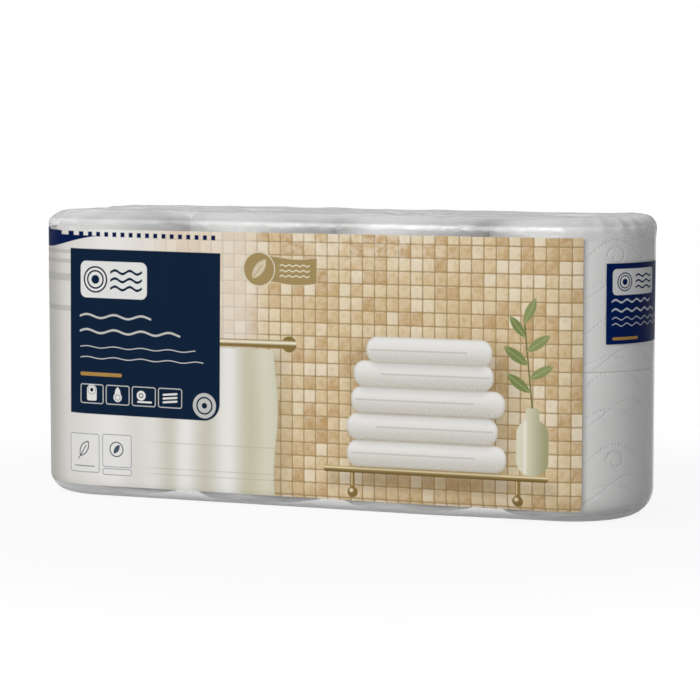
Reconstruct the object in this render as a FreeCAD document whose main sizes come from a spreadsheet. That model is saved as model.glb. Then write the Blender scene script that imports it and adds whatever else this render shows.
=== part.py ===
import FreeCAD, Part
import math
import os

import Sketcher

# Pack of eight toilet rolls: two layers of four, standing on end in one row, in a clear wrap.
# The row runs along X, the printed front faces -Y, and the pack stands on Z = 0 with its origin
# under its middle. Sizes are millimetres.

COLUMNS = 4
LAYERS = ("lower", "upper")
ROLL_FLATS = 60
CORE_FLATS = 48
PLEATS = 5
FAR = 40.0

# A rounded edge is three flats that touch its arc, so these are shares of the arc's radius.
FIRST_CUT = 2 - math.sqrt(2)
SECOND_CUT = math.tan(math.pi / 8) - math.tan(math.pi / 16)
PAPER_CUT = 0.81
CREST_ANGLES = [11.25, 33.75, 56.25, 78.75]

SIZES = [
    ("roll_dia", 109.6, "outside diameter of one roll"),
    ("roll_height", 99.0, "width of the paper, so the height of one roll"),
    ("core_bore", 43.0, "inside diameter of the cardboard core"),
    ("core_wall", 1.0, "thickness of the core"),
    ("ply_step", 0.6, "step at the loose end of the last turn"),
    ("tail_run", 16.0, "length over which the last turn comes away from the roll"),
    ("roll_gap", 0.3, "space between neighbouring rolls"),
    ("film_gap", 0.3, "space between the rolls and the wrap"),
    ("film_wall", 0.4, "thickness of the wrap"),
    ("fold_layer", 0.4, "rise of one folded layer of wrap"),
    ("top_rim", 9.0, "radius of the wrap round the top edge"),
    ("base_rim", 16.0, "radius of the wrap round the bottom edge"),
    ("flap_lap", 11.0, "how far each long flap passes the middle of the pack"),
    ("flap_corner", 8.0, "how far the flaps reach past the axis of the end roll"),
    ("flap_inset", 1.0, "flat margin between a flap and the rounded edge"),
    ("fold_line", 0.8, "width of the groove along a fold of the base"),
    ("pleat_rise", 0.8, "height of a gathered pleat"),
    ("pleat_width", 2.2, "width of a gathered pleat"),
    ("pleat_reach", 17.0, "length of a pleat over the end face"),
    ("pleat_drop", 9.0, "length of a pleat down the side"),
    ("pleat_fan", 66.0, "angle from the middle pleat of an end to its last, in degrees"),
    ("dip_width", 9.0, "width of the dip in the wrap between two rolls"),
    ("dip_reach", 13.0, "length of the dip over the end face"),
    ("dip_drop", 15.0, "length of the dip down the side"),
    ("crease_length", 70.0, "length of a crease in a long flap"),
    ("crease_width", 6.0, "width of a crease"),
    ("crease_rise", 0.9, "height of a crease"),
    ("crease_skew", 5.0, "sideways run of a crease over half its length"),
    ("seal_width", 18.0, "width of the welded lap down the back"),
]

# What several pieces share, as expressions of the sheet's sizes.
ROLL_R = "(sizes.roll_dia / 2)"
CORE_R = "(sizes.core_bore / 2 + sizes.core_wall)"
PITCH = "(sizes.roll_dia + sizes.roll_gap)"
END_X = f"({COLUMNS - 1} / 2 * {PITCH})"
INNER_R = f"({ROLL_R} + sizes.film_gap)"
OUTER_R = f"({INNER_R} + sizes.film_wall)"
INNER_BASE = "(sizes.film_wall + sizes.fold_layer)"
INNER_TOP = f"({INNER_BASE} + {len(LAYERS)} * sizes.roll_height + sizes.film_gap)"
OUTER_TOP = f"({INNER_TOP} + sizes.film_wall)"
FLAP_Y = f"({OUTER_R} - sizes.top_rim - sizes.flap_inset)"
FLAP_X = f"({END_X} + sizes.flap_corner)"

doc = FreeCAD.newDocument("toilet_roll_pack")
sheet = doc.addObject("Spreadsheet::Sheet", "sizes")


def fill_sheet():
    """Writes each driving size as a number with an alias and a note."""
    for row, (alias, value, note) in enumerate(SIZES, start=1):
        sheet.set(f"A{row}", alias)
        sheet.set(f"B{row}", str(value))
        sheet.set(f"C{row}", note)
        sheet.setAlias(f"B{row}", alias)
    doc.recompute()


def number(expression):
    """The present value of an expression of the sheet's sizes."""
    return float(sheet.evalExpression(expression.replace("sizes.", "")))


def plane(body, role):
    """One of a body's own origin planes or axes."""
    return next(item for item in body.Origin.OriginFeatures if item.Role == role)


def sketch_on(body, name, role, shift=()):
    """A sketch on an origin plane of its body, moved by expressions for its own x, y and z."""
    sketch = body.newObject("Sketcher::SketchObject", name)
    sketch.AttachmentSupport = [(plane(body, role), "")]
    sketch.MapMode = "FlatFace"
    for axis, value in zip("xyz", shift):
        sketch.setExpression(f"AttachmentOffset.Base.{axis}", value)
    sketch.Visibility = False
    return sketch


def place(sketch, geometry, end, x, y, label):
    """Fixes a point of a sketch by its two distances from the sketch's origin."""
    for axis, value in (("X", x), ("Y", y)):
        rule = Sketcher.Constraint(f"Distance{axis}", -1, 1, geometry, end, number(value))
        index = sketch.addConstraint(rule)
        name = f"{label}_{axis.lower()}"
        sketch.renameConstraint(index, name)
        sketch.setExpression(f"Constraints.{name}", value)


def polygon(sketch, corners, first="corner"):
    """Adds a closed outline of straight lines whose corners are pairs of expressions."""
    start = sketch.GeometryCount
    points = [FreeCAD.Vector(number(x), number(y), 0) for x, y in corners]
    ring = list(range(len(corners)))
    for index in ring:
        line = Part.LineSegment(points[index], points[index + 1 - len(ring)])
        sketch.addGeometry(line, False)
    for index in ring:
        follower = start + (index + 1) % len(ring)
        sketch.addConstraint(Sketcher.Constraint("Coincident", start + index, 2, follower, 1))
    for index, (x, y) in enumerate(corners):
        place(sketch, start + index, 1, x, y, f"{first}{index + 1}")


def feature(body, kind, name, profile=None, **settings):
    """Adds a PartDesign feature, drives its settings by expressions and makes it the tip."""
    item = body.newObject(f"PartDesign::{kind}", name)
    if profile is not None:
        item.Profile = profile
    for key, value in settings.items():
        if isinstance(value, str) and key not in ("Type", "SideType"):
            item.setExpression(key, value)
        else:
            setattr(item, key, value)
    body.Tip = item
    doc.recompute()
    return item


def edges_at(item, level):
    """Names the edges of a feature that lie at one height."""
    names = []
    for index, edge in enumerate(item.Shape.Edges, start=1):
        box = edge.BoundBox
        if abs(box.ZMin - level) < 1e-4 and abs(box.ZMax - level) < 1e-4:
            names.append(f"Edge{index}")
    return names


def transformed(body, name, kind, **settings):
    """A pattern or mirror that a MultiTransform repeats its originals by."""
    item = body.newObject(f"PartDesign::{kind}", name)
    for key, value in settings.items():
        if isinstance(value, str):
            item.setExpression(key, value)
        else:
            setattr(item, key, value)
    return item


def repeat(body, name, originals, steps):
    """Repeats features by several patterns and mirrors in turn."""
    many = body.newObject("PartDesign::MultiTransform", name)
    many.Originals = originals
    many.Transformations = steps
    body.Tip = many
    doc.recompute()
    return many


def prism(body, kind, name, radius, height, flats):
    """Adds or cuts an upright prism of many flats, which stands for a wound cylinder."""
    item = body.newObject(f"PartDesign::{kind}Prism", name)
    item.Polygon = flats
    item.setExpression("Circumradius", radius)
    item.setExpression("Height", height)
    body.Tip = item
    doc.recompute()
    return item


def chamfer(body, name, levels, size):
    """Bevels the edges round the outside of a body at some heights."""
    whole = body.Tip
    edges = [edge for level in levels for edge in edges_at(whole, level)]
    bevel = feature(body, "Chamfer", name, Base=(whole, edges))
    bevel.setExpression("Size", size)
    doc.recompute()
    return bevel


def paper_roll(name, x, z, pressed):
    """One roll: its wound paper, the end pressed round by the wrap, the bore and the loose end."""
    body = doc.addObject("PartDesign::Body", name)
    body.setExpression("Placement.Base.x", x)
    body.setExpression("Placement.Base.z", z)
    height = "sizes.roll_height"
    rim = "top_rim" if pressed == "upper" else "base_rim"
    level = number(height) if pressed == "upper" else 0.0
    prism(body, "Additive", f"{name}_wound", ROLL_R, height, ROLL_FLATS)
    cut = f"{PAPER_CUT} * (sizes.{rim} - sizes.film_wall - sizes.film_gap)"
    chamfer(body, f"{name}_pressed", [level], cut)
    prism(body, "Subtractive", f"{name}_bore", CORE_R, height, CORE_FLATS)
    loose_end(body, name)
    return body


def loose_end(body, name):
    """Cuts the step of the last turn's free edge along the whole height of a roll."""
    sketch = sketch_on(body, f"{name}_tail", "XY_Plane")
    inside = f"({ROLL_R} - sizes.ply_step)"
    outside = f"({ROLL_R} + sizes.ply_step)"
    polygon(sketch, [
        ("0", inside),
        ("sizes.tail_run", f"sqrt({ROLL_R} * {ROLL_R} - sizes.tail_run * sizes.tail_run)"),
        ("sizes.tail_run", outside),
        ("0", outside),
    ])
    feature(body, "Pocket", f"{name}_tail_step", sketch, Length="sizes.roll_height", Reversed=True)


def core(name, x, z):
    """One cardboard core: a tube as tall as its roll."""
    body = doc.addObject("PartDesign::Body", name)
    body.setExpression("Placement.Base.x", x)
    body.setExpression("Placement.Base.z", z)
    prism(body, "Additive", f"{name}_tube", CORE_R, "sizes.roll_height", CORE_FLATS)
    prism(body, "Subtractive", f"{name}_bore", "sizes.core_bore / 2", "sizes.roll_height", CORE_FLATS)
    return body


def stadium(sketch, radius):
    """The outline round a row of rolls: two straight sides and two half circles."""
    end_x = number(END_X)
    arc = number(radius)
    up = FreeCAD.Vector(0, 0, 1)
    corners = [(-end_x, -arc), (end_x, -arc), (end_x, arc), (-end_x, arc)]
    points = [FreeCAD.Vector(x, y, 0) for x, y in corners]
    right = Part.Circle(FreeCAD.Vector(end_x, 0, 0), up, arc)
    left = Part.Circle(FreeCAD.Vector(-end_x, 0, 0), up, arc)
    quarter = math.pi / 2
    sketch.addGeometry(Part.LineSegment(points[0], points[1]), False)
    sketch.addGeometry(Part.ArcOfCircle(right, -quarter, quarter), False)
    sketch.addGeometry(Part.LineSegment(points[2], points[3]), False)
    sketch.addGeometry(Part.ArcOfCircle(left, quarter, 3 * quarter), False)
    for index in range(4):
        follower = (index + 1) % 4
        sketch.addConstraint(Sketcher.Constraint("Tangent", index, 2, follower, 1))
    sketch.addConstraint(Sketcher.Constraint("Symmetric", 1, 3, 3, 3, -1, 1))
    size = sketch.addConstraint(Sketcher.Constraint("Radius", 1, arc))
    sketch.setExpression(f"Constraints[{size}]", radius)
    place(sketch, 1, 3, END_X, "0", "end_axis")


def rounded_row(name, radius, base, top, shrink):
    """A body with the outline of the row between two levels, rounded at both edges by flats."""
    body = doc.addObject("PartDesign::Body", name)
    outline = sketch_on(body, f"{name}_outline", "XY_Plane", ("0", "0", base))
    stadium(outline, radius)
    feature(body, "Pad", f"{name}_block", outline, Length=f"{top} - {base}")
    for rim, level, inward in (("top_rim", top, -1), ("base_rim", base, 1)):
        arc = f"(sizes.{rim} - {shrink})"
        end = number(level)
        side = end + inward * FIRST_CUT * number(arc)
        chamfer(body, f"{name}_{rim}", [end], f"{FIRST_CUT:.6f} * {arc}")
        chamfer(body, f"{name}_{rim}_soft", [end, side], f"{SECOND_CUT:.6f} * {arc}")
    return body


def rim_dips(body, radius, base, top, grow):
    """Cuts the dips where the wrap sinks between two rolls, at all four long edges."""
    for end, level, sign in (("top", top, "-"), ("base", base, "+")):
        name = f"{body.Name}_{end}_dip"
        slant = "sqrt(sizes.dip_reach * sizes.dip_reach + sizes.dip_drop * sizes.dip_drop)"
        reach = f"(sizes.dip_reach + {grow} * {slant} / sizes.dip_drop)"
        drop = f"(sizes.dip_drop + {grow} * {slant} / sizes.dip_reach)"
        other = "+" if sign == "-" else "-"
        shift = ("0", "0", f"-1 * {PITCH}")
        sketch = sketch_on(body, f"{name}_outline", "YZ_Plane", shift)
        polygon(sketch, [
            (f"-1 * {radius}", f"{level} {sign} {drop}"),
            (f"{reach} - {radius}", level),
            (f"-1 * {radius} - {FAR}", f"{level} {other} {FAR}"),
        ])
        depth = f"(sizes.dip_reach * sizes.dip_drop / {slant} - {math.sqrt(2) - 1:.6f} * sizes.{end}_rim)"
        cut = feature(
            body, "Pocket", name, sketch,
            SideType="Symmetric", Length="sizes.dip_width",
            TaperAngle=f"-1 * atan({depth} / (sizes.dip_width / 2))",
        )
        along = transformed(
            body, f"{name}_row", "LinearPattern",
            Direction=(sketch, ["N_Axis"]), Occurrences=COLUMNS - 1, Length=f"{COLUMNS - 2} * {PITCH}",
        )
        across = transformed(body, f"{name}_back", "Mirrored", MirrorPlane=(plane(body, "XZ_Plane"), [""]))
        repeat(body, f"{name}s", [cut], [along, across])


def folded_top(body):
    """Lays the back flap, then the front flap over it, on the end face of the wrap."""
    edge_x = f"({FLAP_X} - {FLAP_Y})"
    free_x = f"({edge_x} - sizes.flap_lap)"
    flaps = (("back", "1", "sizes.fold_layer"), ("front", "-1", "sizes.fold_layer"))
    for side, sign, rise in flaps:
        sketch = sketch_on(body, f"{side}_flap_outline", "XY_Plane", ("0", "0", OUTER_TOP))
        polygon(sketch, [
            (f"-1 * {FLAP_X}", f"{sign} * {FLAP_Y}"),
            (FLAP_X, f"{sign} * {FLAP_Y}"),
            (free_x, f"{sign} * -1 * sizes.flap_lap"),
            (f"-1 * {free_x}", f"{sign} * -1 * sizes.flap_lap"),
        ])
        feature(body, "Pad", f"{side}_flap", sketch, Length=rise)
    sketch = sketch_on(body, "lapped_outline", "XY_Plane", ("0", "0", OUTER_TOP))
    polygon(sketch, [
        (free_x, "-1 * sizes.flap_lap"), (edge_x, "0"), (free_x, "sizes.flap_lap"),
        (f"-1 * {free_x}", "sizes.flap_lap"), (f"-1 * {edge_x}", "0"),
        (f"-1 * {free_x}", "-1 * sizes.flap_lap"),
    ])
    feature(body, "Pad", "lapped_flaps", sketch, Length="2 * sizes.fold_layer")


def folded_base(body):
    """Cuts the fold lines of the base, which is pressed flat by the pack's weight."""
    flap_y = f"({OUTER_R} - sizes.base_rim - sizes.flap_inset)"
    half = "(sizes.fold_line / 2)"
    free_x = f"({FLAP_X} - {flap_y} - sizes.flap_lap)"
    sketch = sketch_on(body, "base_lap_outline", "XY_Plane")
    polygon(sketch, [
        (f"-1 * {free_x}", f"sizes.flap_lap - {half}"), (free_x, f"sizes.flap_lap - {half}"),
        (free_x, f"sizes.flap_lap + {half}"), (f"-1 * {free_x}", f"sizes.flap_lap + {half}"),
    ])
    feature(body, "Pocket", "base_lap_line", sketch, Length="sizes.fold_layer", Reversed=True)
    diagonal = sketch_on(body, "base_tuck_outline", "XY_Plane")
    step = f"({math.sqrt(0.5):.6f} * sizes.fold_line)"
    tuck_x = f"({FLAP_X} - {flap_y} + sizes.flap_lap + {half})"
    tuck_y = f"(-1 * sizes.flap_lap - {half})"
    polygon(diagonal, [
        (tuck_x, tuck_y),
        (FLAP_X, f"-1 * {flap_y}"),
        (f"{FLAP_X} + {step}", f"-1 * {flap_y} + {step}"),
        (f"{tuck_x} + {step}", f"{tuck_y} + {step}"),
    ])
    tuck = feature(body, "Pocket", "base_tuck_line", diagonal, Length="sizes.fold_layer", Reversed=True)
    side = transformed(body, "base_tuck_left", "Mirrored", MirrorPlane=(plane(body, "YZ_Plane"), [""]))
    back = transformed(body, "base_tuck_back", "Mirrored", MirrorPlane=(plane(body, "XZ_Plane"), [""]))
    repeat(body, "base_tuck_lines", [tuck], [side, back])


def pleats(body):
    """Gathers the wrap in ridges that fan over the top edge of both end rolls."""
    hub = sketch_on(body, "pleat_axis", "XY_Plane", (END_X, "0", "0"))
    hub.addGeometry(Part.Circle(FreeCAD.Vector(0, 0, 0), FreeCAD.Vector(0, 0, 1), 1), True)
    rim_x = f"({END_X} + {OUTER_R} - sizes.top_rim)"
    rim_z = f"({OUTER_TOP} - sizes.top_rim)"
    inside_x = f"({rim_x} - sizes.pleat_reach)"
    inside_z = f"({rim_z} - sizes.pleat_drop)"
    corners = [(inside_x, inside_z), (f"{rim_x} + sizes.top_rim", inside_z)]
    for angle in CREST_ANGLES:
        turn = math.radians(angle)
        bend = f"(sizes.top_rim + sizes.pleat_rise) / {math.cos(math.pi / 16):.6f}"
        corners.append((
            f"{rim_x} + {math.cos(turn):.6f} * {bend}",
            f"{rim_z} + {math.sin(turn):.6f} * {bend}",
        ))
    corners.append((inside_x, f"{rim_z} + sizes.top_rim"))
    sketch = sketch_on(body, "pleat_outline", "XZ_Plane")
    polygon(sketch, corners)
    ridge = feature(
        body, "Pad", "pleat", sketch,
        SideType="Symmetric", Length="sizes.pleat_width",
        TaperAngle="-0.9 * atan(sizes.pleat_rise / (sizes.pleat_width / 2))",
    )
    fan = transformed(
        body, "pleat_fan", "PolarPattern",
        Axis=(hub, ["N_Axis"]), Occurrences=PLEATS, Angle="sizes.pleat_fan",
    )
    front = transformed(body, "pleat_front", "Mirrored", MirrorPlane=(plane(body, "XZ_Plane"), [""]))
    left = transformed(body, "pleat_left", "Mirrored", MirrorPlane=(plane(body, "YZ_Plane"), [""]))
    repeat(body, "pleats", [ridge], [fan, front, left])


def creases(body):
    """Raises long creases in both flaps, one in each over every roll."""
    lift = f"({OUTER_TOP} + sizes.fold_layer)"
    middle = f"(({FLAP_Y} + sizes.flap_lap) / 2)"
    sketch = sketch_on(body, "crease_outline", "XY_Plane", (f"(-1 * {END_X})", "0", lift))
    length = "(sizes.crease_length / 2)"
    wide = "(sizes.crease_width / 2)"
    polygon(sketch, [
        (f"-1 * {length}", f"{middle} - sizes.crease_skew"), ("0", f"{middle} - {wide}"),
        (length, f"{middle} + sizes.crease_skew"), ("0", f"{middle} + {wide}"),
    ])
    ridge = feature(
        body, "Pad", "crease", sketch,
        Length="sizes.crease_rise", TaperAngle="-0.8 * atan(sizes.crease_width / 2 / sizes.crease_rise)",
    )
    along = transformed(
        body, "crease_row", "LinearPattern",
        Direction=(plane(body, "X_Axis"), [""]), Occurrences=COLUMNS, Length=f"{COLUMNS - 1} * {PITCH}",
    )
    turn = transformed(
        body, "crease_front", "PolarPattern",
        Axis=(plane(body, "Z_Axis"), [""]), Occurrences=2, Angle=360,
    )
    repeat(body, "creases", [ridge], [along, turn])


def back_seal(body):
    """Adds the welded lap that closes the wrap behind, between the rounded edges."""
    base = "sizes.base_rim"
    sketch = sketch_on(body, "seal_outline", "XY_Plane", ("0", "0", base))
    left = f"({PITCH} / 2 - sizes.seal_width / 2)"
    right = f"({PITCH} / 2 + sizes.seal_width / 2)"
    polygon(sketch, [
        (left, OUTER_R), (right, OUTER_R),
        (right, f"{OUTER_R} + sizes.fold_layer"), (left, f"{OUTER_R} + sizes.fold_layer"),
    ])
    feature(body, "Pad", "seal", sketch, Length=f"{OUTER_TOP} - sizes.top_rim - {base}")


def wrap():
    """The clear wrap: its folded outside less the space that the rolls fill."""
    outside = rounded_row("wrap_outside", OUTER_R, "0", OUTER_TOP, "0")
    rim_dips(outside, OUTER_R, "0", OUTER_TOP, "0")
    folded_top(outside)
    folded_base(outside)
    pleats(outside)
    creases(outside)
    back_seal(outside)
    inside = rounded_row("wrap_inside", INNER_R, INNER_BASE, INNER_TOP, "sizes.film_wall")
    rim_dips(inside, OUTER_R, "0", OUTER_TOP, "sizes.film_wall")
    film = doc.addObject("Part::Cut", "film_wrap")
    film.Base = outside
    film.Tool = inside
    doc.recompute()
    return film


def pack():
    """Builds every piece of the pack and returns them by the names of their files."""
    pieces = {"film_wrap": wrap()}
    for layer, name in enumerate(LAYERS):
        for column in range(COLUMNS):
            x = f"{column - (COLUMNS - 1) / 2} * {PITCH}"
            z = f"{INNER_BASE} + {layer} * sizes.roll_height"
            pieces[f"{name}_roll_{column + 1}"] = paper_roll(f"{name}_roll_{column + 1}", x, z, name)
            pieces[f"{name}_core_{column + 1}"] = core(f"{name}_core_{column + 1}", x, z)
    for name, piece in pieces.items():
        piece.Label = name
    return pieces


def export(pieces):
    """Checks the whole document, then writes each piece to its own file."""
    doc.recompute()
    for item in doc.Objects:
        if "Invalid" in item.State or "Error" in item.State:
            raise RuntimeError(f"{item.Name} did not build")
    for name, piece in pieces.items():
        if piece.Shape.isNull() or not piece.Shape.isValid():
            raise RuntimeError(f"{name} has no valid shape")
    os.makedirs("parts", exist_ok=True)
    for name, piece in pieces.items():
        piece.Shape.exportStep(f"parts/{name}.step")


fill_sheet()
export(pack())
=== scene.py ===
import logging
import math
from collections.abc import Callable, Sequence
from dataclasses import dataclass, field
from enum import Enum

import bmesh
import bpy
import numpy as np
from mathutils import Matrix, Vector, noise


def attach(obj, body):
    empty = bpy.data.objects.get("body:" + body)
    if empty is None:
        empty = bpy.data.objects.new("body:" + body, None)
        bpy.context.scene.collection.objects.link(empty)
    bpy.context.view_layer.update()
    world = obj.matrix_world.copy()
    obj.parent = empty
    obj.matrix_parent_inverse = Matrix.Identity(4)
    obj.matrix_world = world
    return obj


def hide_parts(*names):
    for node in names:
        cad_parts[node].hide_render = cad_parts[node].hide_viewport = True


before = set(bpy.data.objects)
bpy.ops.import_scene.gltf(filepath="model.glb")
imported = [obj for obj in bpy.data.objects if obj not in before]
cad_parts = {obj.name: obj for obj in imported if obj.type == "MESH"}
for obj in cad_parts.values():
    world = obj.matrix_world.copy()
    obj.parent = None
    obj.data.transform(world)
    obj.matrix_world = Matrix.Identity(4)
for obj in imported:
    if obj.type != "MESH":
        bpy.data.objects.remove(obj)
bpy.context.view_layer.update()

# A pack of eight toilet rolls in a clear wrap with a printed front. The row of rolls runs along X
# and the print faces -Y. The classes hold millimetres, and meshes are scaled to metres.

MM = 0.001
ROLL_COLUMNS = range(1, 5)
ROLL_PITCH = 109.9
ROLL_HEIGHT = 99
LEFT_TOP_ROUND = 27  # the film presses the left upper roll rounder than the others
RIGHT_BASE_ROUND = 18.4  # and the right lower roll at its base
log = logging.getLogger("roll_pack")

Colour = tuple[float, float, float]
Point = tuple[float, float]
Place = tuple[float, float, float]
Grid = np.ndarray
Settings = dict[str, object] | None
Inputs = dict[str | int, object] | None


class Layer(Enum):
    """The two layers of rolls, each with the height of its underside."""

    LOWER = 0.8
    UPPER = 99.8


class Zone(Enum):
    """What the wrap is made of at one place, as its material's number."""

    CLEAR = 0
    PRINT = 1
    LABEL = 2


def roll_axis(column: int) -> float:
    """Where along the pack the axis of one column of rolls stands."""
    return (column - 2.5) * ROLL_PITCH


def ink(code: str) -> Colour:
    """Turns a screen colour of six hexadecimal digits into the linear light it stands for."""
    shares = [int(code[i : i + 2], 16) / 255 for i in (0, 2, 4)]
    return tuple(c / 12.92 if c <= 0.04045 else ((c + 0.055) / 1.055) ** 2.4 for c in shares)


def colour_value(colour: object) -> object:
    """Turns a colour's code or linear light into a socket's value, and leaves a signal alone."""
    linear = ink(colour) if isinstance(colour, str) else colour
    return (*linear, 1) if isinstance(linear, tuple) else linear


# ---- shader expressions


def works(operation: str, swapped: bool = False) -> Callable[..., "Signal"]:
    """Makes a method that adds a Math node.

    Args:
        operation: What the node does.
        swapped: Whether the signal comes after the other value.

    Returns:
        The method, which takes the other values and returns a signal.
    """

    def method(signal: "Signal", *others: "Signal | float") -> "Signal":
        """Works on the signal and the other values."""
        values = (*others, signal) if swapped else (signal, *others)
        return signal.graph.math(operation, *values)

    return method


class Signal:
    """A number that varies over a surface, written with the usual operators."""

    __add__ = __radd__ = works("ADD")
    __sub__ = works("SUBTRACT")
    __rsub__ = works("SUBTRACT", swapped=True)
    __mul__ = __rmul__ = works("MULTIPLY")
    __truediv__ = works("DIVIDE")
    __abs__ = works("ABSOLUTE")
    least = works("MINIMUM")
    most = works("MAXIMUM")
    sine = works("SINE")
    floor = works("FLOOR")
    fraction = works("FRACT")

    def __init__(self, graph: "Graph", socket: bpy.types.NodeSocket) -> None:
        """Wraps one output socket of a graph's node tree."""
        self.graph = graph
        self.socket = socket

    def length(self, other: "Signal") -> "Signal":
        """The length of the vector whose two parts are this signal and another."""
        return self.graph.math("SQRT", self * self + other * other)

    def ramp(self, low: float, high: float) -> "Signal":
        """Rises smoothly from 0 to 1 between two values, or falls where the first is the larger.

        Args:
            low: The value that gives 0.
            high: The value that gives 1.

        Returns:
            A signal from 0 to 1.
        """
        inputs = {0: self, 1: min(low, high), 2: max(low, high)}
        inputs |= {3: 0, 4: 1} if low < high else {3: 1, 4: 0}
        return self.graph.signal("MapRange", {"interpolation_type": "SMOOTHSTEP"}, inputs)

    def inside(self, soft: float = 0.3) -> "Signal":
        """Turns a distance into a mask that is 1 where it is negative, with a soft edge."""
        settings = {"operation": "MULTIPLY_ADD", "use_clamp": True}
        return self.graph.signal("Math", settings, {0: self, 1: -1 / soft, 2: 0.5})

    def stroke(self, width: float, soft: float = 0.3) -> "Signal":
        """A mask of a line of some width along the edge of a shape."""
        return (abs(self) - width / 2).inside(soft)


class Graph:
    """One node tree, with one method that adds any node to it."""

    def __init__(self, owner: bpy.types.ID) -> None:
        """Empties the node tree of a material or a world."""
        owner.use_nodes = True
        self.tree = owner.node_tree
        self.tree.nodes.clear()

    def node(self, kind: str, settings: Settings = None, inputs: Inputs = None) -> bpy.types.Node:
        """Adds a node.

        Args:
            kind: The node's type, after the words that every shader node's type starts with.
            settings: Properties set before the inputs; "stops" is a ramp's positions and colours.
            inputs: Values or signals by the input's name or number.

        Returns:
            The new node.
        """
        made = self.tree.nodes.new(f"ShaderNode{kind}")
        for key, value in (settings or {}).items():
            if key == "stops":
                self._fill_ramp(made.color_ramp, value)
            else:
                setattr(made, key, value)
        for key, value in (inputs or {}).items():
            if isinstance(value, Signal):
                self.tree.links.new(value.socket, made.inputs[key])
            else:
                made.inputs[key].default_value = value
        return made

    @staticmethod
    def _fill_ramp(ramp: bpy.types.ColorRamp, stops: Sequence[tuple[float, str]]) -> None:
        """Gives a colour ramp its stops."""
        while len(ramp.elements) < len(stops):
            ramp.elements.new(0.5)
        for element, (place, code) in zip(ramp.elements, stops):
            element.position = place
            element.color = colour_value(code)

    def signal(
        self, kind: str, settings: Settings = None, inputs: Inputs = None, output: str | int = 0
    ) -> Signal:
        """Adds a node and wraps the output that has the given name or number."""
        return Signal(self, self.node(kind, settings, inputs).outputs[output])

    def math(self, operation: str, *values: Signal | float) -> Signal:
        """Adds a Math node that works on one or more values."""
        return self.signal("Math", {"operation": operation}, dict(enumerate(values)))

    def blend(self, mask: Signal | float, below: object, above: object) -> Signal:
        """Lays one colour over another; each is a code, linear light or a signal."""
        inputs = {0: mask, 6: colour_value(below), 7: colour_value(above)}
        return self.signal("Mix", {"data_type": "RGBA"}, inputs, 2)

    def noise(
        self,
        scale: float,
        detail: float = 2,
        rough: float = 0.5,
        squeeze: Sequence[float] = (1, 1, 1),
    ) -> Signal:
        """A cloudy texture on the point on the piece in metres.

        Args:
            scale: Lumps in one metre.
            detail: How many finer layers it has.
            rough: How strong the finer layers are.
            squeeze: How close the lumps lie along each axis.

        Returns:
            A signal from 0 to 1.
        """
        spot = self.signal("TexCoord", output="Object")
        spot = self.signal("VectorMath", {"operation": "MULTIPLY"}, {0: spot, 1: squeeze})
        inputs = {"Vector": spot, "Scale": scale, "Detail": detail, "Roughness": rough}
        return self.signal("TexNoise", None, inputs)

    def attribute(self, name: str) -> tuple[Signal, ...]:
        """The three parts of a vector that the mesh carries."""
        vector = self.signal("Attribute", {"attribute_name": name}, None, "Vector")
        return tuple(Signal(self, s) for s in self.node("SeparateXYZ", None, {0: vector}).outputs)

    def bump(self, height: Signal, depth: float, strength: float = 1) -> Signal:
        """A normal that follows a height from 0 to 1, whose full depth is in millimetres."""
        inputs = {"Height": height, "Distance": depth * MM, "Strength": strength}
        return self.signal("Bump", None, inputs, "Normal")

    def close(self, shader: Signal, kind: str = "Material") -> None:
        """Links a shader to the tree's output."""
        self.node(f"Output{kind}", None, {0: shader})


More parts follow.
